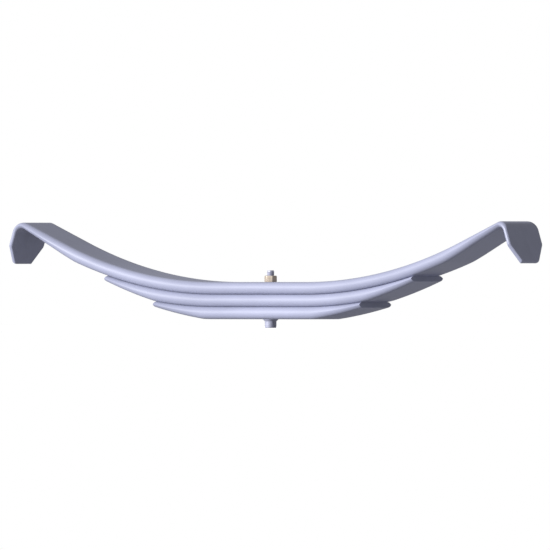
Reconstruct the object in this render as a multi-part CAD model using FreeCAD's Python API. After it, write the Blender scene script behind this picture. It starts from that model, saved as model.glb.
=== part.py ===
"""Three-leaf tapered slipper spring with a hook at each end of the main leaf.

Units are millimetres.  The origin is on the centre bolt's axis, in the plane of the
lowest leaf's underside, where the spring sits on its axle seat.  +X runs along the
spring towards its longer end, +Y across it and +Z up, towards the hooks.
"""

import FreeCAD, Part
import math
import os

# Leaf bar: flat spring steel with fully rounded long edges.
leaf_width = 76.2
leaf_thickness = 20.0
edge_land = 0.1             # straight strip left between the two roundings of an edge

# Camber of the main leaf's upper face.
seat_half_length = 103.0    # flat length each side of the camber's middle
camber_radius = 994.0
arm_angle = 20.7            # slope of the straight arms, in degrees
camber_middle_x = 5.0       # the camber's middle lies past the centre bolt

# Main leaf ends.
left_arm_length = 108.0     # straight run from the camber's end to the hook's outer corner
right_arm_length = 109.7
main_taper_angle = 18.46    # where the underside starts to thin, in degrees round the camber
hook_outer_radius = 20.0
hook_root_land = 0.3        # flat side left below the upper rounding where the bend starts
hook_root_edge = 0.15       # lower edge radius where the bend starts
hook_thickness = 8.0
hook_edge_land = 0.1
hook_tab_length = 75.0      # from the hook's outer corner to the tab's end
tab_end_radius = 3.0
tab_end_width = 38.1
tab_chamfer_length = 30.7
bend_sections = 7

# Shorter leaves.
second_leaf_length = 698.0
second_leaf_middle_x = 4.5
third_leaf_length = 470.0
third_leaf_middle_x = 2.0
tip_taper_length = 110.0
tip_thickness = 9.2
leaf_spread = 10.0          # each lower leaf is bent this much wider, so its arms part slightly

# Centre bolt and nut, M12.
bolt_radius = 6.0
nut_flats_to_bolt = 1.5     # across the flats, in bolt diameters, as standard nuts are
nut_sides = 6
bolt_hole_clearance = 0.5
bolt_stub_length = 8.5      # thread standing out past the nut
bolt_end_chamfer = 1.0
flange_radius = 12.8
flange_height = 3.8
flange_rim = 0.8
head_radius = 9.4
head_height = 14.0          # below the lowest leaf
head_end_chamfer = 0.8
nut_height = 10.8
nut_thread_clearance = 0.05
nut_face_inset = 0.45       # the round end face is this much smaller in radius than the flats
nut_bevel_angle = 30.0
nut_bore_bevel = 0.8

# Shallow spot faces round the centre hole, for the bolt's flange and the nut.
spot_face_depth = 0.5
spot_face_clearance = 0.7

# Worked out from the sizes above.
leaf_count = 3
edge_radius = (leaf_thickness - edge_land) / 2
hook_root_thickness = edge_radius + hook_root_edge + hook_root_land
hook_edge_radius = (hook_thickness - hook_edge_land) / 2
arm_length = {-1: left_arm_length, 1: right_arm_length}
stack_height = leaf_count * leaf_thickness
camber_centre_z = stack_height + camber_radius
alpha = math.radians(arm_angle)
nut_flat_radius = nut_flats_to_bolt * bolt_radius
nut_corner_radius = nut_flat_radius / math.cos(math.pi / nut_sides)
nut_base = stack_height - spot_face_depth
hole_radius = bolt_radius + bolt_hole_clearance
reach_past_ends = 60.0      # how far the rounding blocks run past a leaf
touching = 1e-5             # distance below which two points are the same one


def at(x, z):
    """A point of the side view, in the spring's middle plane."""
    return FreeCAD.Vector(x, 0, z)


def line(start, end):
    return Part.LineSegment(start, end).toShape()


def arc(start, middle, end):
    return Part.Arc(start, middle, end).toShape()


def on_camber(side, depth, angle, spread=0.0):
    """A point at a depth below the main leaf's upper face, at an angle round the camber."""
    radius = camber_radius + depth + spread
    x = camber_middle_x + side * (seat_half_length + radius * math.sin(angle))
    return at(x, camber_centre_z + spread - radius * math.cos(angle))


def camber_angle(side, x, depth, spread=0.0):
    """The angle round the camber at which a face at that depth reaches x."""
    run = side * (x - camber_middle_x) - seat_half_length
    return math.asin(run / (camber_radius + depth + spread))


def along_arm(side, distance, depth, spread=0.0):
    """A point on the straight arm, at a distance past the camber's end and a depth below its face."""
    start = on_camber(side, 0, alpha, spread)
    x = start.x + side * (distance * math.cos(alpha) + depth * math.sin(alpha))
    z = start.z + distance * math.sin(alpha) - depth * math.cos(alpha)
    return at(x, z)


def in_hook(side, inward, down):
    """A point of the hook, measured from its outer corner: inward along the arm and down the tab."""
    return along_arm(side, arm_length[side] - inward, down)


def camber_run(side, depth, first_angle, last_angle, spread=0.0):
    """An arc round the camber at one depth."""
    middle = (first_angle + last_angle) / 2
    return arc(on_camber(side, depth, first_angle, spread), on_camber(side, depth, middle, spread),
               on_camber(side, depth, last_angle, spread))


def closed_wire(edges):
    """The one wire that a loop of loose edges makes."""
    return Part.Wire(Part.sortEdges(edges)[0])


def across(edges):
    """A block: the closed side view carried across the leaf's width."""
    face = Part.Face(closed_wire(edges))
    face.translate(FreeCAD.Vector(0, -leaf_width / 2, 0))
    return face.extrude(FreeCAD.Vector(0, leaf_width, 0))


def joined(points):
    """Straight edges from point to point."""
    return [line(a, b) for a, b in zip(points, points[1:])]


def long_edges(block, outline):
    """The block's edges that lie along the outline, at both sides of the leaf."""
    found = []
    for edge in block.Edges:
        middle = edge.valueAt((edge.FirstParameter + edge.LastParameter) / 2)
        if abs(abs(middle.y) - leaf_width / 2) > touching:
            continue
        flat = Part.Vertex(middle.x, 0, middle.z)
        if any(flat.distToShape(piece)[0] < touching for piece in outline):
            found.append(edge)
    return found


def rounded_block(outline, closing, radius=edge_radius):
    """The block bounded by an outline and closing lines, its outline's long edges rounded."""
    block = across(outline + closing)
    return block.makeFillet(radius, long_edges(block, outline))


def edges_at(block, corner):
    """The block's edges that run across its width through a point of the side view."""
    found = []
    for edge in block.Edges:
        ends = [vertex.Point for vertex in edge.Vertexes]
        if all(math.hypot(end.x - corner.x, end.z - corner.z) < touching for end in ends):
            found.append(edge)
    return found


def block_below(outline_half, depth_of_block):
    """A block below a symmetric-by-side upper outline, rounded along that outline."""
    left, right = outline_half(-1), outline_half(1)
    outline = left["edges"] + right["edges"] + [line(left["seat"], right["seat"])]
    closing = joined([left["end"], at(left["end"].x, depth_of_block),
                      at(right["end"].x, depth_of_block), right["end"]])
    return rounded_block(outline, closing)


def camber_half(depth, spread):
    """One half of an un-tapered face: the camber and a straight run past it."""
    def half(side):
        end = along_arm(side, arm_length[side], depth, spread)
        edges = [camber_run(side, depth, 0, alpha, spread), line(on_camber(side, depth, alpha, spread), end)]
        return {"edges": edges, "seat": on_camber(side, depth, 0, spread), "end": end}
    return half


def rounded_leaf(edges, depth, spread=0.0):
    """The closed side view across the width, with both long edges of both faces rounded."""
    base = depth + leaf_thickness
    above = block_below(camber_half(depth, spread), -reach_past_ends)
    below = block_below(camber_half(base, spread), camber_centre_z)
    return across(edges).common(above).common(below)


def centre_hole(leaf):
    """The leaf with its hole for the centre bolt."""
    hole = Part.makeCylinder(hole_radius, stack_height, FreeCAD.Vector(0, 0, 0))
    return leaf.cut(hole)


def spot_face(radius, z):
    """The disc that a spot face removes, resting on z."""
    return Part.makeCylinder(radius + spot_face_clearance, spot_face_depth, FreeCAD.Vector(0, 0, z))


def clean(shape):
    """The single solid of a boolean's result."""
    solid = shape.removeSplitter().Solids[0]
    if not solid.isValid():
        raise ValueError("a leaf came out invalid")
    return solid


def short_leaf(place, length, middle_x):
    """A leaf below the main one, thinned on its underside towards two square ends."""
    depth = place * leaf_thickness
    spread = place * leaf_spread
    base = depth + leaf_thickness
    edges = [line(on_camber(-1, depth, 0, spread), on_camber(1, depth, 0, spread)),
             line(on_camber(-1, base, 0, spread), on_camber(1, base, 0, spread))]
    for side in (-1, 1):
        end_x = middle_x + side * length / 2
        end = camber_angle(side, end_x, depth, spread)
        start = camber_angle(side, end_x - side * tip_taper_length, depth, spread)
        mid_depth = depth + (leaf_thickness + tip_thickness) / 2
        tip = on_camber(side, depth + tip_thickness, end, spread)
        edges.append(camber_run(side, depth, 0, end, spread))
        edges.append(camber_run(side, base, 0, start, spread))
        edges.append(arc(on_camber(side, base, start, spread),
                         on_camber(side, mid_depth, (start + end) / 2, spread), tip))
        edges.append(line(on_camber(side, depth, end, spread), tip))
    return centre_hole(rounded_leaf(edges, depth, spread))


def main_leaf_profile():
    """The main leaf's side view from bend to bend: camber and thinning arms."""
    edges = [line(on_camber(-1, 0, 0), on_camber(1, 0, 0)),
             line(on_camber(-1, leaf_thickness, 0), on_camber(1, leaf_thickness, 0))]
    start = math.radians(main_taper_angle)
    for side in (-1, 1):
        arc_taper = (alpha - start) * camber_radius
        whole_taper = arc_taper + arm_length[side] - hook_outer_radius
        thinning = (leaf_thickness - hook_root_thickness) / whole_taper
        arm_thickness = leaf_thickness - thinning * arc_taper
        mid_thickness = (leaf_thickness + arm_thickness) / 2
        outer_end = in_hook(side, hook_outer_radius, 0)
        inner_end = in_hook(side, hook_outer_radius, hook_root_thickness)
        arm_inner = along_arm(side, 0, arm_thickness)
        edges.append(camber_run(side, 0, 0, alpha))
        edges.extend(joined([on_camber(side, 0, alpha), outer_end, inner_end, arm_inner]))
        edges.append(arc(arm_inner, on_camber(side, mid_thickness, (start + alpha) / 2),
                         on_camber(side, leaf_thickness, start)))
        edges.append(camber_run(side, leaf_thickness, 0, start))
    return edges


def bend_section(side, turn, share):
    """The bend's cross-section at an angle round it, a share of the way from arm to tab."""
    thickness = hook_root_thickness + share * (hook_thickness - hook_root_thickness)
    upper = edge_radius + share * (hook_edge_radius - edge_radius)
    lower = hook_root_edge + share * (hook_edge_radius - hook_root_edge)

    def point(depth, y):
        out = hook_outer_radius - depth
        p = in_hook(side, hook_outer_radius - out * math.sin(turn), hook_outer_radius - out * math.cos(turn))
        return FreeCAD.Vector(p.x, y, p.z)

    half = leaf_width / 2
    diagonal = 1 - math.sqrt(0.5)
    edges = []
    for edge in (-1, 1):
        edges.append(arc(point(0, edge * (half - upper)),
                         point(upper * diagonal, edge * (half - upper * diagonal)),
                         point(upper, edge * half)))
        edges.append(line(point(upper, edge * half), point(thickness - lower, edge * half)))
        edges.append(arc(point(thickness - lower, edge * half),
                         point(thickness - lower * diagonal, edge * (half - lower * diagonal)),
                         point(thickness, edge * (half - lower))))
    edges.append(line(point(0, upper - half), point(0, half - upper)))
    edges.append(line(point(thickness, lower - half), point(thickness, half - lower)))
    return closed_wire(edges)


def hook_bend(side):
    """The quarter bend from the arm to the tab, its edges passing from one rounding to the other."""
    shares = [step / (bend_sections - 1) for step in range(bend_sections)]
    return Part.makeLoft([bend_section(side, math.pi / 2 * share, share) for share in shares], True)


def hook_tab(side):
    """The straight tab below the bend, its long edges fully rounded and its end cut narrow."""
    top_outer = in_hook(side, 0, hook_outer_radius)
    top_inner = in_hook(side, hook_thickness, hook_outer_radius)
    end_outer = in_hook(side, 0, hook_tab_length)
    end_inner = in_hook(side, hook_thickness, hook_tab_length)
    faces = [line(top_outer, end_outer), line(top_inner, end_inner)]
    tab = rounded_block(faces, [line(top_outer, top_inner), line(end_outer, end_inner)], hook_edge_radius)
    for wedge in tab_corner_cuts(side):
        tab = tab.cut(wedge)
    return tab.makeFillet(tab_end_radius, edges_at(tab, end_outer))


def tab_corner_cuts(side):
    """The wedges that chamfer a tab's lower corners across the leaf's width."""
    cuts = []
    half = leaf_width / 2
    cut_width = half - tab_end_width / 2
    for edge in (-1, 1):
        outline = []
        for down, y in ((hook_tab_length - tab_chamfer_length, half),
                        (hook_tab_length - tab_chamfer_length, 2 * half),
                        (hook_tab_length + tab_chamfer_length, 2 * half),
                        (hook_tab_length + tab_chamfer_length, half - 2 * cut_width)):
            p = in_hook(side, -hook_thickness, down)
            outline.append(FreeCAD.Vector(p.x, edge * y, p.z))
        face = Part.Face(Part.makePolygon(outline + outline[:1]))
        cuts.append(face.extrude(in_hook(side, 2 * hook_thickness, 0) - in_hook(side, -hook_thickness, 0)))
    return cuts


def main_leaf():
    """The longest, uppermost leaf, with a hook bent down at each end."""
    leaf = rounded_leaf(main_leaf_profile(), 0)
    for side in (-1, 1):
        leaf = leaf.fuse([hook_bend(side), hook_tab(side)])
    return centre_hole(leaf).cut(spot_face(nut_corner_radius, stack_height - spot_face_depth))


def second_leaf():
    """The middle leaf."""
    return short_leaf(1, second_leaf_length, second_leaf_middle_x)


def third_leaf():
    """The lowest, shortest leaf, whose underside is the spring's seat."""
    leaf = short_leaf(2, third_leaf_length, third_leaf_middle_x)
    return leaf.cut(spot_face(flange_radius, 0))


def turned(half_section):
    """The solid that a closed half-section makes round the bolt's axis."""
    face = Part.Face(Part.makePolygon(half_section + half_section[:1]))
    return face.revolve(FreeCAD.Vector(0, 0, 0), FreeCAD.Vector(0, 0, 1))


def centre_bolt():
    """The bolt through all leaves, with a locating head on a bearing flange."""
    top = nut_base + nut_height + bolt_stub_length
    return turned([at(0, -head_height), at(head_radius - head_end_chamfer, -head_height),
                   at(head_radius, -head_height + head_end_chamfer),
                   at(head_radius, spot_face_depth - flange_height),
                   at(flange_radius, spot_face_depth - flange_rim),
                   at(flange_radius, spot_face_depth),
                   at(bolt_radius, spot_face_depth),
                   at(bolt_radius, top - bolt_end_chamfer),
                   at(bolt_radius - bolt_end_chamfer, top),
                   at(0, top)])


def centre_nut():
    """The plain hexagon nut that holds the leaves together, two flats square to the leaf."""
    top = nut_base + nut_height
    corners = []
    for step in range(nut_sides + 1):
        turn = (2 * step + 1) * math.pi / nut_sides
        x = nut_corner_radius * math.cos(turn)
        y = nut_corner_radius * math.sin(turn)
        corners.append(FreeCAD.Vector(x, y, nut_base))
    hexagon = Part.Face(Part.makePolygon(corners)).extrude(FreeCAD.Vector(0, 0, nut_height))

    # Both ends are bevelled to a round face a little smaller than the flats.
    face_radius = nut_flat_radius - nut_face_inset
    drop = (nut_corner_radius - face_radius) * math.tan(math.radians(nut_bevel_angle))
    bevelled = turned([at(0, nut_base), at(face_radius, nut_base), at(nut_corner_radius, nut_base + drop),
                       at(nut_corner_radius, top - drop), at(face_radius, top), at(0, top)])

    # The bore is widened a little at each mouth.
    bore = bolt_radius + nut_thread_clearance
    mouth = bore + nut_bore_bevel
    bored = turned([at(0, nut_base), at(mouth, nut_base), at(bore, nut_base + nut_bore_bevel),
                    at(bore, top - nut_bore_bevel), at(mouth, top), at(0, top)])
    return hexagon.common(bevelled).cut(bored)


os.makedirs("parts", exist_ok=True)
pieces = {"main_leaf": main_leaf(), "second_leaf": second_leaf(), "third_leaf": third_leaf(),
          "centre_bolt": centre_bolt(), "centre_nut": centre_nut()}
for name, shape in pieces.items():
    solid = clean(shape)
    solid.exportStep("parts/" + name + ".step")
    print(name, "solids", len(shape.Solids), "volume", round(solid.Volume), "box", solid.BoundBox)
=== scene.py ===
import math
import bmesh
import bpy
import numpy as np
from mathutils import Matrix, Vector


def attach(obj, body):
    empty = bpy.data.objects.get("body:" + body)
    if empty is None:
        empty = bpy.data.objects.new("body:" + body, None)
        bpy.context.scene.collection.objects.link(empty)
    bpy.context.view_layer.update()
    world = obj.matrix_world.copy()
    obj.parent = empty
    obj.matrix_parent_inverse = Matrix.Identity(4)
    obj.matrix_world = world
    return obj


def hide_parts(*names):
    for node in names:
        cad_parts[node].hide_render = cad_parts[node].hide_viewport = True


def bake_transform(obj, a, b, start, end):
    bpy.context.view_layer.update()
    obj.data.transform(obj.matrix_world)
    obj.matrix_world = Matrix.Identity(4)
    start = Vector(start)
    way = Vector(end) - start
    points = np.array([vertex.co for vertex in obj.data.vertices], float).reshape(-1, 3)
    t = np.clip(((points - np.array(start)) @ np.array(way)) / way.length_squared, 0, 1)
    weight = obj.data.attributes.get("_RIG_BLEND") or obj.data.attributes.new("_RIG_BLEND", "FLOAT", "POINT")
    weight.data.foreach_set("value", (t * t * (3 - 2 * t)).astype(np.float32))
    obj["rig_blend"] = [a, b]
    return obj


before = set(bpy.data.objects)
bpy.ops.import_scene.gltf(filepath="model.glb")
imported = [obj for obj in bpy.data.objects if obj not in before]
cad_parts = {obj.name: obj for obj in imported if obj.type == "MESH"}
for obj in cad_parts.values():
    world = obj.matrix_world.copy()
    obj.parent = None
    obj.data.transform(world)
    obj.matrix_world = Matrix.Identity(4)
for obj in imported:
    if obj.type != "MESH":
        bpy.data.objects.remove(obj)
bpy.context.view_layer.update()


# ---------------------------------------------------------------------------------------
# Leaves.  The three leaves are hot-rolled flat spring-steel bars with fully rounded long
# edges, thinned at the ends, cambered, shot-peened and given a thin grey-blue primer.
# They lie on one another, and each is drilled for the centre bolt that clamps them.
LEAF_WIDTH = 0.0762
LEAF_THICKNESS = 0.020
LEAF_EDGE_RADIUS = 0.00995
SEAT_HALF_LENGTH = 0.103
CAMBER_RADIUS = 0.994
CAMBER_MIDDLE_X = 0.005
ARM_ANGLE = math.radians(20.7)
ARM_LENGTH = {-1: 0.1080, 1: 0.1097}
STACK_HEIGHT = 0.060
LEAF_SPREAD = 0.010
CUT_EDGE_RADIUS = 0.0026

# Where the main leaf starts to thin, and what its hooks measure.
MAIN_TAPER_ANGLE = math.radians(18.46)
HOOK_ROOT_THICKNESS = 0.0104
HOOK_OUTER_RADIUS = 0.020
HOOK_THICKNESS = 0.008
HOOK_TAB_LENGTH = 0.075
TAB_CHAMFER_LENGTH = 0.0307
TAB_END_WIDTH = 0.0381
TAB_END_RADIUS = 0.003

# Each shorter leaf: how many leaves lie above it, its length and where its middle is.
SHORT_LEAVES = {"second_leaf": (1, 0.698, 0.0045), "third_leaf": (2, 0.470, 0.0020)}
TIP_TAPER_LENGTH = 0.110
TIP_THICKNESS = 0.0092

# The drilled hole, and the shallow spot faces under the nut and over the bolt's flange.
BOLT_HOLE_RADIUS = 0.0065
SPOT_FACE_DEPTH = 0.0005
NUT_SPOT_RADIUS = 0.01109
FLANGE_SPOT_RADIUS = 0.0135
DRILL_OVERSHOOT = 0.005

# Under load: the share of the seat's half-length that the clamp holds still, and how far
# from the camber's middle the hooks take the load.
CLAMPED_SHARE = 0.6
HOOK_REACH = 0.545

# How finely the leaves are meshed.
CORNER_STEPS = 16
FLAT_STEPS = 8
STATION_SPACING = 0.006
SEAT_STEPS = 20
HOOK_STEPS = 14
TAB_STEPS = 5
CHAMFER_STEPS = 12
TAB_END_STEPS = 5
MERGE_DISTANCE = 1e-6
SLIVER_LENGTH = 1e-7


def linear(hex_colour):
    """An sRGB hex colour as the linear values that a shader socket takes."""
    parts = [int(hex_colour[i:i + 2], 16) / 255 for i in (1, 3, 5)]
    return [p / 12.92 if p <= 0.04045 else ((p + 0.055) / 1.055) ** 2.4 for p in parts] + [1.0]


def add_node(tree, kind, settings=None, values=None, links=None):
    """A node with its settings, its sockets' values and its incoming links."""
    node = tree.nodes.new(kind)
    for name, value in (settings or {}).items():
        setattr(node, name, value)
    for socket, value in (values or {}).items():
        node.inputs[socket].default_value = value
    for socket, source in (links or {}).items():
        tree.links.new(source, node.inputs[socket])
    return node


class Station:
    """One cross-section: a point of the upper face, the way in, and the section's sizes."""

    def __init__(self, x, z, inward, thickness, rounding, half_width=LEAF_WIDTH / 2):
        self.x, self.z, self.inward = x, z, inward
        self.thickness, self.rounding, self.half_width = thickness, rounding, half_width

    def side(self):
        """Depth and half-width down one side: an arc from each face, to half-way through."""
        sweep = math.acos(max(1 - self.thickness / 2 / self.rounding, 0.0))
        upper = []
        for i in range(CORNER_STEPS + 1):
            turn = sweep * i / CORNER_STEPS
            depth = self.rounding * (1 - math.cos(turn))
            y = LEAF_WIDTH / 2 - self.rounding * (1 - math.sin(turn))
            broken = max(CUT_EDGE_RADIUS - depth, 0.0)
            cut = self.half_width - CUT_EDGE_RADIUS + math.sqrt(CUT_EDGE_RADIUS ** 2 - broken ** 2)
            upper.append((depth, min(y, cut)))
        lower = [(self.thickness - depth, y) for depth, y in reversed(upper)]
        return upper + lower


def finished(name, mesh):
    """An object made of a closed mesh, with its faces turned outwards."""
    bmesh.ops.recalc_face_normals(mesh, faces=mesh.faces)
    if mesh.calc_volume(signed=True) < 0:
        bmesh.ops.reverse_faces(mesh, faces=mesh.faces)
    data = bpy.data.meshes.new(name)
    mesh.to_mesh(data)
    mesh.free()
    piece = bpy.data.objects.new(name, data)
    bpy.context.collection.objects.link(piece)
    return piece


def leaf_mesh(name, stations):
    """A closed bar through the stations, its section rounded as each one says."""
    mesh = bmesh.new()
    rings = []
    for station in stations:
        near = station.side()
        far = [(depth, -y) for depth, y in reversed(near)]
        section = []
        for this_side, next_side in ((near, far), (far, near)):
            section.extend(this_side)
            depth, y = this_side[-1]
            next_depth, next_y = next_side[0]
            for i in range(1, FLAT_STEPS):
                share = i / FLAT_STEPS
                section.append((depth + share * (next_depth - depth), y + share * (next_y - y)))
        ring = []
        for depth, y in section:
            x = station.x + depth * station.inward[0]
            z = station.z + depth * station.inward[1]
            ring.append(mesh.verts.new((x, y, z)))
        rings.append(ring)
    for ring, next_ring in zip(rings, rings[1:]):
        for i in range(len(ring)):
            j = (i + 1) % len(ring)
            mesh.faces.new((ring[i], ring[j], next_ring[j], next_ring[i]))
    mesh.faces.new(rings[0][::-1])
    mesh.faces.new(rings[-1])
    bmesh.ops.remove_doubles(mesh, verts=mesh.verts, dist=MERGE_DISTANCE)
    bmesh.ops.dissolve_degenerate(mesh, dist=SLIVER_LENGTH, edges=mesh.edges)
    return finished(name, mesh)


def seat_stations(upper_z):
    """Sections of the flat middle that every leaf has, at the height of its upper face."""
    seat = []
    for i in range(1, SEAT_STEPS):
        x = CAMBER_MIDDLE_X + SEAT_HALF_LENGTH * (2 * i / SEAT_STEPS - 1)
        seat.append(Station(x, upper_z, (0.0, -1.0), LEAF_THICKNESS, LEAF_EDGE_RADIUS))
    return seat


def short_leaf_stations(leaves_above, length, middle_x):
    """Sections of a leaf below the main one, from its left tip to its right."""
    upper_z = STACK_HEIGHT - leaves_above * LEAF_THICKNESS
    radius = CAMBER_RADIUS + leaves_above * LEAF_THICKNESS + leaves_above * LEAF_SPREAD
    halves = {}
    for side in (-1, 1):
        end_run = side * (middle_x + side * length / 2 - CAMBER_MIDDLE_X) - SEAT_HALF_LENGTH
        end_angle = math.asin(end_run / radius)
        taper_angle = math.asin((end_run - TIP_TAPER_LENGTH) / radius)
        count = int(end_angle * radius / STATION_SPACING)
        half = []
        for i in range(count + 1):
            angle = end_angle * i / count
            x = CAMBER_MIDDLE_X + side * (SEAT_HALF_LENGTH + radius * math.sin(angle))
            z = upper_z + radius * (1 - math.cos(angle))
            inward = (side * math.sin(angle), -math.cos(angle))
            share = max((angle - taper_angle) / (end_angle - taper_angle), 0.0)
            thickness = LEAF_THICKNESS - share * (LEAF_THICKNESS - TIP_THICKNESS)
            half.append(Station(x, z, inward, thickness, LEAF_EDGE_RADIUS))
        halves[side] = half
    return halves[-1][::-1] + seat_stations(upper_z) + halves[1]


def camber_point(side, run):
    """The main leaf's upper face at a run along it from the seat, and the way in."""
    angle = min(run / CAMBER_RADIUS, ARM_ANGLE)
    beyond = max(run - ARM_ANGLE * CAMBER_RADIUS, 0.0)
    x = SEAT_HALF_LENGTH + CAMBER_RADIUS * math.sin(angle) + beyond * math.cos(angle)
    z = STACK_HEIGHT + CAMBER_RADIUS * (1 - math.cos(angle)) + beyond * math.sin(angle)
    return CAMBER_MIDDLE_X + side * x, z, (side * math.sin(angle), -math.cos(angle))


def hook_bend(side, bend_run):
    """Sections round a hook's bend, which goes on thinning from the arm to the tab."""
    x, z, inward = camber_point(side, bend_run)
    along = (-inward[1] * side, inward[0] * side)
    centre_x = x + HOOK_OUTER_RADIUS * inward[0]
    centre_z = z + HOOK_OUTER_RADIUS * inward[1]
    bend = []
    for i in range(1, HOOK_STEPS + 1):
        share = i / HOOK_STEPS
        turn = math.pi / 2 * i / HOOK_STEPS
        out_x = -inward[0] * math.cos(turn) + along[0] * math.sin(turn)
        out_z = -inward[1] * math.cos(turn) + along[1] * math.sin(turn)
        thickness = HOOK_ROOT_THICKNESS + share * (HOOK_THICKNESS - HOOK_ROOT_THICKNESS)
        rounding = LEAF_EDGE_RADIUS + share * (HOOK_THICKNESS / 2 - LEAF_EDGE_RADIUS)
        bend.append(Station(centre_x + HOOK_OUTER_RADIUS * out_x, centre_z + HOOK_OUTER_RADIUS * out_z,
                            (-out_x, -out_z), thickness, rounding))
    return bend


def hook_tab(start, down):
    """Sections down a hook's tab from the bend's last one: cut corners and a rounded end."""
    tab_length = HOOK_TAB_LENGTH - HOOK_OUTER_RADIUS
    cut_start = tab_length - TAB_CHAMFER_LENGTH
    round_start = tab_length - TAB_END_RADIUS
    drops = [cut_start * i / TAB_STEPS for i in range(1, TAB_STEPS + 1)]
    drops += [cut_start + TAB_CHAMFER_LENGTH * i / CHAMFER_STEPS for i in range(1, CHAMFER_STEPS)]
    drops += [round_start + TAB_END_RADIUS * math.sin(math.pi / 2 * i / TAB_END_STEPS)
              for i in range(TAB_END_STEPS + 1)]
    tab = []
    for drop in sorted(set(drops)):
        share = max((drop - cut_start) / TAB_CHAMFER_LENGTH, 0.0)
        half_width = LEAF_WIDTH / 2 - share * (LEAF_WIDTH - TAB_END_WIDTH) / 2
        past = max(drop - round_start, 0.0)
        sink = TAB_END_RADIUS - math.sqrt(max(TAB_END_RADIUS ** 2 - past ** 2, 0.0))
        x = start.x + drop * down[0] + sink * start.inward[0]
        z = start.z + drop * down[1] + sink * start.inward[1]
        thickness = HOOK_THICKNESS - sink
        tab.append(Station(x, z, start.inward, thickness, thickness / 2, half_width))
    return tab


def main_leaf_stations():
    """Sections of the main leaf, from the end of its left tab to the end of its right one."""
    taper_run = CAMBER_RADIUS * MAIN_TAPER_ANGLE
    halves = {}
    for side in (-1, 1):
        bend_run = ARM_ANGLE * CAMBER_RADIUS + ARM_LENGTH[side] - HOOK_OUTER_RADIUS
        count = int(bend_run / STATION_SPACING)
        half = []
        for i in range(count + 1):
            run = bend_run * i / count
            x, z, inward = camber_point(side, run)
            share = max((run - taper_run) / (bend_run - taper_run), 0.0)
            thickness = LEAF_THICKNESS - share * (LEAF_THICKNESS - HOOK_ROOT_THICKNESS)
            half.append(Station(x, z, inward, thickness, LEAF_EDGE_RADIUS))
        half += hook_bend(side, bend_run)
        half += hook_tab(half[-1], camber_point(side, bend_run)[2])
        halves[side] = half
    return halves[-1][::-1] + seat_stations(STACK_HEIGHT) + halves[1]


def turned(name, profile, segments=96):
    """A closed turned shape: a side profile of (radius, height), swept round the bolt's axis."""
    mesh = bmesh.new()
    rings = []
    for radius, height in profile:
        if radius == 0.0:
            rings.append([mesh.verts.new((0.0, 0.0, height))] * segments)
            continue
        ring = []
        for i in range(segments):
            turn = 2 * math.pi * i / segments
            ring.append(mesh.verts.new((radius * math.cos(turn), radius * math.sin(turn), height)))
        rings.append(ring)
    for ring, next_ring in zip(rings, rings[1:]):
        for i in range(segments):
            j = (i + 1) % segments
            corners = []
            for vertex in (ring[i], ring[j], next_ring[j], next_ring[i]):
                if vertex not in corners:
                    corners.append(vertex)
            if len(corners) > 2:
                mesh.faces.new(corners)
    return finished(name, mesh)


def settled(piece):
    """The piece with its modifiers worked into a plain mesh."""
    graph = bpy.context.evaluated_depsgraph_get()
    data = bpy.data.meshes.new_from_object(piece.evaluated_get(graph))
    piece.modifiers.clear()
    piece.data = data
    return piece


def smooth(piece, angle=30):
    """Smooth shading, with edges sharper than the angle left crisp."""
    piece.data.shade_smooth()
    piece.data.set_sharp_from_angle(angle=math.radians(angle))


def bend_with_load(piece):
    """The leaf bends as a clamped beam loaded at the hooks: still at the seat, full at the ends.

    The blend's smooth turn over twice the arm's reach, doubled, is that beam's own curve.  A
    blend turns one way only, so there is one for each side, and the weights that the two
    wrote are doubled, added and written back.
    """
    curve = np.zeros(len(piece.data.vertices))
    for side in (-1, 1):
        seat_x = CAMBER_MIDDLE_X + side * SEAT_HALF_LENGTH * CLAMPED_SHARE
        hook_x = CAMBER_MIDDLE_X + side * HOOK_REACH
        far_x = seat_x + 2 * (hook_x - seat_x)
        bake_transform(piece, "seat_stack", "main_leaf", start=(seat_x, 0, 0), end=(far_x, 0, 0))
        one_side = np.zeros(len(curve), np.float32)
        piece.data.attributes["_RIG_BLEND"].data.foreach_get("value", one_side)
        curve += 2 * one_side
    curve = np.minimum(curve, 1.0).astype(np.float32)
    piece.data.attributes["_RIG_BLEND"].data.foreach_set("value", curve)


# Primer over peened spring steel: a thin satin film, lavender grey, with faint streaks along
# the bar, a little unevenness in colour and gloss, and the peening as a fine orange-peel.
# The dimples are about 2 mm apart here, which is coarser than real peening, so that they show.
leaf_paint = bpy.data.materials.new("satin_grey_primer_on_peened_spring_steel")
leaf_paint.use_nodes = True
tree = leaf_paint.node_tree
shader = tree.nodes["Principled BSDF"]
leaf_place = add_node(tree, "ShaderNodeTexCoord").outputs["Object"]
streak_map = add_node(tree, "ShaderNodeMapping", values={"Scale": (6.0, 90.0, 40.0)},
                      links={"Vector": leaf_place})
streaks = add_node(tree, "ShaderNodeTexNoise", values={"Scale": 1.0, "Detail": 5.0, "Roughness": 0.6},
                   links={"Vector": streak_map.outputs[0]})
cloud = add_node(tree, "ShaderNodeTexNoise", values={"Scale": 9.0, "Detail": 6.0, "Roughness": 0.55},
                 links={"Vector": leaf_place})
peen = add_node(tree, "ShaderNodeTexNoise", values={"Scale": 520.0, "Detail": 2.0, "Roughness": 0.5},
                links={"Vector": leaf_place})
patch = add_node(tree, "ShaderNodeMix", settings={"data_type": "FLOAT"}, values={"Factor": 0.45},
                 links={"A": streaks.outputs[0], "B": cloud.outputs[0]})
tint = add_node(tree, "ShaderNodeValToRGB", links={"Fac": patch.outputs[0]})
tint.color_ramp.elements[0].position = 0.30
tint.color_ramp.elements[0].color = linear("#83869b")
tint.color_ramp.elements[1].position = 0.70
tint.color_ramp.elements[1].color = linear("#8e91a7")
tree.links.new(tint.outputs[0], shader.inputs["Base Color"])
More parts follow.
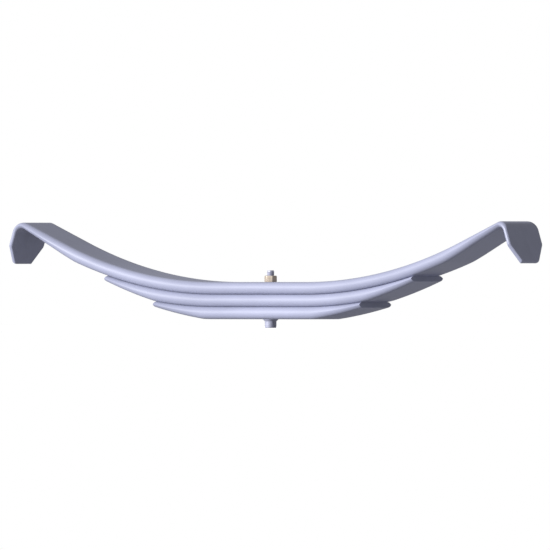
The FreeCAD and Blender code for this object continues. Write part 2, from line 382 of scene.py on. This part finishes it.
gloss = add_node(tree, "ShaderNodeMapRange",
                 values={"From Min": 0.3, "From Max": 0.7, "To Min": 0.40, "To Max": 0.52},
                 links={"Value": patch.outputs[0]})
tree.links.new(gloss.outputs[0], shader.inputs["Roughness"])
skin = add_node(tree, "ShaderNodeBump", values={"Strength": 0.10, "Distance": 0.0004},
                links={"Height": peen.outputs[0]})
tree.links.new(skin.outputs[0], shader.inputs["Normal"])
shader.inputs["Metallic"].default_value = 0.0
shader.inputs["IOR"].default_value = 1.5

leaves = {"main_leaf": leaf_mesh("main_leaf_bar", main_leaf_stations())}
for node, (leaves_above, length, middle_x) in SHORT_LEAVES.items():
    leaves[node] = leaf_mesh(node + "_bar", short_leaf_stations(leaves_above, length, middle_x))

# The drill: the spot face over the flange, the hole, and the spot face under the nut.
lower_spot = SPOT_FACE_DEPTH
upper_spot = STACK_HEIGHT - SPOT_FACE_DEPTH
drill = turned("drill", [
    (0.0, -DRILL_OVERSHOOT), (FLANGE_SPOT_RADIUS, -DRILL_OVERSHOOT),
    (FLANGE_SPOT_RADIUS, lower_spot), (BOLT_HOLE_RADIUS, lower_spot),
    (BOLT_HOLE_RADIUS, upper_spot), (NUT_SPOT_RADIUS, upper_spot),
    (NUT_SPOT_RADIUS, STACK_HEIGHT + DRILL_OVERSHOOT), (0.0, STACK_HEIGHT + DRILL_OVERSHOOT)])
for piece in leaves.values():
    hole = piece.modifiers.new("centre_hole", "BOOLEAN")
    hole.operation = "DIFFERENCE"
    hole.solver = "EXACT"
    hole.object = drill
    settled(piece)
bpy.data.objects.remove(drill)

for node, piece in leaves.items():
    smooth(piece)
    piece.data.materials.append(leaf_paint)
    bend_with_load(piece)
    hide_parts(node)


# ---------------------------------------------------------------------------------------
# Centre bolt.  A cold-headed M12 bolt of plain steel: its turned head locates the spring in
# the axle seat, its shank passes up through the leaves and its thread is rolled.
BOLT_RADIUS = 0.0060
BOLT_TOP = 0.0788
BOLT_END_CHAMFER = 0.0006
HEAD_RADIUS = 0.0094
HEAD_CHAMFER = 0.0008
HEAD_BOTTOM = -0.014
FLANGE_RADIUS = 0.0128
FLANGE_SLOPE_START = -0.0033
FLANGE_SLOPE_END = -0.0003
BOLT_EDGE_BREAK = 0.00025
THREAD_CORE_RADIUS = 0.0052
THREAD_PITCH = 0.00175
THREAD_START = 0.0440
THREAD_RUN_OUT = 0.001
THREAD_TURNS = 19.0
THREAD_STEPS_A_TURN = 48

# The ridge is a square bar on edge.  Half its diagonal, as a share of the pitch, leaves the
# turns nearly meeting at their feet.
THREAD_RIDGE_SHARE = 0.48


def steel(name, colour, dark, roughness, streak_scale, metallic):
    """A plain or plated steel finish, with fine marks in its colour, gloss and relief."""
    finish = bpy.data.materials.new(name)
    finish.use_nodes = True
    tree = finish.node_tree
    shader = tree.nodes["Principled BSDF"]
    place = add_node(tree, "ShaderNodeTexCoord").outputs["Object"]
    spread = add_node(tree, "ShaderNodeMapping", values={"Scale": streak_scale}, links={"Vector": place})
    marks = add_node(tree, "ShaderNodeTexNoise", values={"Scale": 1.0, "Detail": 4.0, "Roughness": 0.6},
                     links={"Vector": spread.outputs[0]})
    tone = add_node(tree, "ShaderNodeValToRGB", links={"Fac": marks.outputs[0]})
    tone.color_ramp.elements[0].position = 0.35
    tone.color_ramp.elements[0].color = linear(dark)
    tone.color_ramp.elements[1].position = 0.65
    tone.color_ramp.elements[1].color = linear(colour)
    tree.links.new(tone.outputs[0], shader.inputs["Base Color"])
    worn = add_node(tree, "ShaderNodeMapRange",
                    values={"From Min": 0.3, "From Max": 0.7,
                            "To Min": roughness - 0.06, "To Max": roughness + 0.08},
                    links={"Value": marks.outputs[0]})
    tree.links.new(worn.outputs[0], shader.inputs["Roughness"])
    relief = add_node(tree, "ShaderNodeBump", values={"Strength": 0.15, "Distance": 0.0002},
                      links={"Height": marks.outputs[0]})
    tree.links.new(relief.outputs[0], shader.inputs["Normal"])
    shader.inputs["Metallic"].default_value = metallic
    return finish


def softened(piece, width):
    """A small bevel on every hard edge, which the real part's rolled or cut edges have."""
    bevel = piece.modifiers.new("edge_break", "BEVEL")
    bevel.width = width
    bevel.segments = 2
    bevel.limit_method = "ANGLE"
    bevel.angle_limit = math.radians(25)
    return settled(piece)


# Plain cold-headed steel, dull and cool grey, so its metallic share is far below bright
# metal's.  Its marks run round the axis, about 1 mm apart so that they show.
bolt_steel = steel("plain_cold_headed_steel", "#a3a5b7", "#9294a6", 0.45, (60.0, 60.0, 900.0), 0.15)

bolt = turned("centre_bolt_body", [
    (0.0, HEAD_BOTTOM), (HEAD_RADIUS - HEAD_CHAMFER, HEAD_BOTTOM),
    (HEAD_RADIUS, HEAD_BOTTOM + HEAD_CHAMFER), (HEAD_RADIUS, FLANGE_SLOPE_START),
    (FLANGE_RADIUS, FLANGE_SLOPE_END), (FLANGE_RADIUS, SPOT_FACE_DEPTH),
    (BOLT_RADIUS, SPOT_FACE_DEPTH), (BOLT_RADIUS, THREAD_START),
    (THREAD_CORE_RADIUS, THREAD_START + THREAD_RUN_OUT),
    (THREAD_CORE_RADIUS, BOLT_TOP - BOLT_END_CHAMFER),
    (THREAD_CORE_RADIUS - BOLT_END_CHAMFER, BOLT_TOP), (0.0, BOLT_TOP)])
softened(bolt, BOLT_EDGE_BREAK)
smooth(bolt, angle=35)
bolt.data.materials.append(bolt_steel)
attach(bolt, "seat_stack")
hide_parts("centre_bolt")

# The thread is a V-shaped ridge that winds up the bolt's core.
thread_tree = bpy.data.node_groups.new("rolled_thread", "GeometryNodeTree")
thread_tree.interface.new_socket("Geometry", in_out="OUTPUT", socket_type="NodeSocketGeometry")
thread_sizes = {"Crest radius": BOLT_RADIUS, "Pitch": THREAD_PITCH, "Turns": THREAD_TURNS,
                "Start height": THREAD_START}
thread_sockets = {}
for label, size in thread_sizes.items():
    socket = thread_tree.interface.new_socket(label, in_out="INPUT", socket_type="NodeSocketFloat")
    socket.default_value = size
    thread_sockets[label] = socket.identifier
sizes = add_node(thread_tree, "NodeGroupInput").outputs
ridge_size = add_node(thread_tree, "ShaderNodeMath", settings={"operation": "MULTIPLY"},
                      values={1: THREAD_RIDGE_SHARE}, links={0: sizes["Pitch"]})
ridge_radius = add_node(thread_tree, "ShaderNodeMath", settings={"operation": "SUBTRACT"},
                        links={0: sizes["Crest radius"], 1: ridge_size.outputs[0]})
rise = add_node(thread_tree, "ShaderNodeMath", settings={"operation": "MULTIPLY"},
                links={0: sizes["Pitch"], 1: sizes["Turns"]})
winding = add_node(thread_tree, "GeometryNodeCurveSpiral", values={"Resolution": THREAD_STEPS_A_TURN},
                   links={"Rotations": sizes["Turns"], "Start Radius": ridge_radius.outputs[0],
                          "End Radius": ridge_radius.outputs[0], "Height": rise.outputs[0]})
upright = add_node(thread_tree, "GeometryNodeSetCurveNormal", settings={"mode": "Z_UP"},
                   links={"Curve": winding.outputs[0]})
vee = add_node(thread_tree, "GeometryNodeCurvePrimitiveCircle", values={"Resolution": 4},
               links={"Radius": ridge_size.outputs[0]})
ridge = add_node(thread_tree, "GeometryNodeCurveToMesh", values={"Fill Caps": True},
                 links={"Curve": upright.outputs[0], "Profile Curve": vee.outputs[0]})
lift = add_node(thread_tree, "ShaderNodeCombineXYZ", links={"Z": sizes["Start height"]})
raised = add_node(thread_tree, "GeometryNodeTransform",
                  links={"Geometry": ridge.outputs[0], "Translation": lift.outputs[0]})
whole = add_node(thread_tree, "GeometryNodeRealizeInstances", links={"Geometry": raised.outputs[0]})
coated = add_node(thread_tree, "GeometryNodeSetMaterial", values={"Material": bolt_steel},
                  links={"Geometry": whole.outputs[0]})
add_node(thread_tree, "NodeGroupOutput", links={0: coated.outputs[0]})

thread = bpy.data.objects.new("centre_bolt_thread", bpy.data.meshes.new("thread_seed"))
bpy.context.collection.objects.link(thread)
winder = thread.modifiers.new("rolled_thread", "NODES")
winder.node_group = thread_tree
for label, size in thread_sizes.items():
    winder[thread_sockets[label]] = size
settled(thread)
smooth(thread, angle=40)
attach(thread, "seat_stack")
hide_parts("centre_bolt")


# ---------------------------------------------------------------------------------------
# Centre nut.  A cold-forged M12 hexagon nut, plated with zinc and passivated to a pale
# warm tan.  Both faces are chamfered to a round, and it is tightened on the main leaf.
NUT_FLATS = 0.018
NUT_BASE = STACK_HEIGHT - SPOT_FACE_DEPTH
NUT_HEIGHT = 0.0108
NUT_FACE_RADIUS = 0.00855
NUT_BORE_RADIUS = 0.00606
NUT_MOUTH_RADIUS = 0.00685
NUT_BEVEL = math.tan(math.radians(30))
NUT_EDGE_BREAK = 0.0002
NUT_STEPS = 120


def nut_mesh(name):
    """A closed hexagon nut: the hexagon's outline cut at both ends by a shallow cone."""
    mesh = bmesh.new()
    rows = []
    top = NUT_BASE + NUT_HEIGHT
    mouth_depth = NUT_MOUTH_RADIUS - NUT_BORE_RADIUS
    for i in range(NUT_STEPS):
        turn = 2 * math.pi * i / NUT_STEPS
        from_flat = (turn + math.pi / 6) % (math.pi / 3) - math.pi / 6
        outer = NUT_FLATS / 2 / math.cos(from_flat)
        drop = (outer - NUT_FACE_RADIUS) * NUT_BEVEL
        section = [(NUT_BORE_RADIUS, NUT_BASE + mouth_depth), (NUT_MOUTH_RADIUS, NUT_BASE),
                   (NUT_FACE_RADIUS, NUT_BASE), (outer, NUT_BASE + drop), (outer, top - drop),
                   (NUT_FACE_RADIUS, top), (NUT_MOUTH_RADIUS, top), (NUT_BORE_RADIUS, top - mouth_depth)]
        rows.append([mesh.verts.new((r * math.cos(turn), r * math.sin(turn), z)) for r, z in section])
    for row, next_row in zip(rows, rows[1:] + rows[:1]):
        for k in range(len(row)):
            j = (k + 1) % len(row)
            mesh.faces.new((row[k], next_row[k], next_row[j], row[j]))
    return finished(name, mesh)


# Zinc plate, passivated: warm pale tan with faint cloudiness from the dip.  The film dulls
# it, so its metallic share is about half of bright zinc's.
nut_zinc = steel("passivated_zinc_plate", "#c2b5a6", "#b2a596", 0.36, (160.0, 160.0, 160.0), 0.45)

nut = nut_mesh("centre_nut_hexagon")
softened(nut, NUT_EDGE_BREAK)
smooth(nut, angle=30)
nut.data.materials.append(nut_zinc)
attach(nut, "seat_stack")
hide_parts("centre_nut")


# ---------------------------------------------------------------------------------------
# Stage.  A plain pale floor just under the bolt's head, white surroundings, and one soft
# key light from the front left, which casts no shadow.
FLOOR_RADIUS = 1.6
FLOOR_GAP = 0.0002
FLOOR_GLOW = 0.8
ROOM_LIGHT = 0.38

floor_data = bpy.data.meshes.new("floor")
floor_mesh = bmesh.new()
bmesh.ops.create_circle(floor_mesh, cap_ends=True, segments=96, radius=FLOOR_RADIUS)
for vertex in floor_mesh.verts:
    vertex.co.z = HEAD_BOTTOM - FLOOR_GAP
floor_mesh.to_mesh(floor_data)
floor_mesh.free()
floor = bpy.data.objects.new("floor", floor_data)
bpy.context.collection.objects.link(floor)

# Matt pale grey that looks near white straight on, without lighting the leaves from below.
floor_paint = bpy.data.materials.new("pale_matte_floor")
floor_paint.use_nodes = True
floor_tree = floor_paint.node_tree
floor_shader = floor_tree.nodes["Principled BSDF"]
floor_shader.inputs["Base Color"].default_value = linear("#b0b0b3")
floor_shader.inputs["Roughness"].default_value = 0.9
floor_shader.inputs["Emission Color"].default_value = (1.0, 1.0, 1.0, 1.0)
floor_seen = add_node(floor_tree, "ShaderNodeLightPath").outputs["Is Camera Ray"]
glow = add_node(floor_tree, "ShaderNodeMath", settings={"operation": "MULTIPLY"},
                values={1: FLOOR_GLOW}, links={0: floor_seen})
floor_tree.links.new(glow.outputs[0], floor_shader.inputs["Emission Strength"])
floor_data.materials.append(floor_paint)

world = bpy.data.worlds.new("white_room")
world.use_nodes = True
backdrop = world.node_tree.nodes["Background"]
backdrop.inputs["Color"].default_value = (1.0, 1.0, 1.0, 1.0)
room_seen = add_node(world.node_tree, "ShaderNodeLightPath").outputs["Is Camera Ray"]
room = add_node(world.node_tree, "ShaderNodeMapRange", values={"To Min": ROOM_LIGHT, "To Max": 1.0},
                links={"Value": room_seen})
world.node_tree.links.new(room.outputs[0], backdrop.inputs["Strength"])
bpy.context.scene.world = world

KEY_AZIMUTH = math.radians(-110)
KEY_ELEVATION = math.radians(15.5)
key_data = bpy.data.lights.new("key_front_left", "SUN")
key_data.energy = 6.3
key_data.angle = math.radians(4)
key_data.use_shadow = False
key = bpy.data.objects.new("key_front_left", key_data)
towards_key = Vector((math.cos(KEY_ELEVATION) * math.cos(KEY_AZIMUTH),
                      math.cos(KEY_ELEVATION) * math.sin(KEY_AZIMUTH), math.sin(KEY_ELEVATION)))
key.rotation_euler = towards_key.to_track_quat("Z", "Y").to_euler()
bpy.context.collection.objects.link(key)

# The camera stands far off, level with the spring, half-way round to its long side.
FIELD_WIDTH = 0.8872
CAMERA_DISTANCE = 40.0
CAMERA_AZIMUTH = math.radians(-45)
SENSOR_WIDTH = 36.0
AIM_ACROSS = 0.0070
AIM_HEIGHT = 0.0713

camera_data = bpy.data.cameras.new("camera")
camera_data.sensor_width = SENSOR_WIDTH
camera_data.lens = SENSOR_WIDTH * CAMERA_DISTANCE / FIELD_WIDTH
camera_data.clip_end = 100.0
camera = bpy.data.objects.new("camera", camera_data)
toward_camera = Vector((math.cos(CAMERA_AZIMUTH), math.sin(CAMERA_AZIMUTH), 0.0))
across_view = Vector((-toward_camera.y, toward_camera.x, 0.0))
aim = across_view * AIM_ACROSS + Vector((0.0, 0.0, AIM_HEIGHT))
camera.location = aim + toward_camera * CAMERA_DISTANCE
camera.rotation_euler = toward_camera.to_track_quat("Z", "Y").to_euler()
bpy.context.collection.objects.link(camera)
bpy.context.scene.camera = camera
bpy.context.scene.view_settings.view_transform = "Standard"
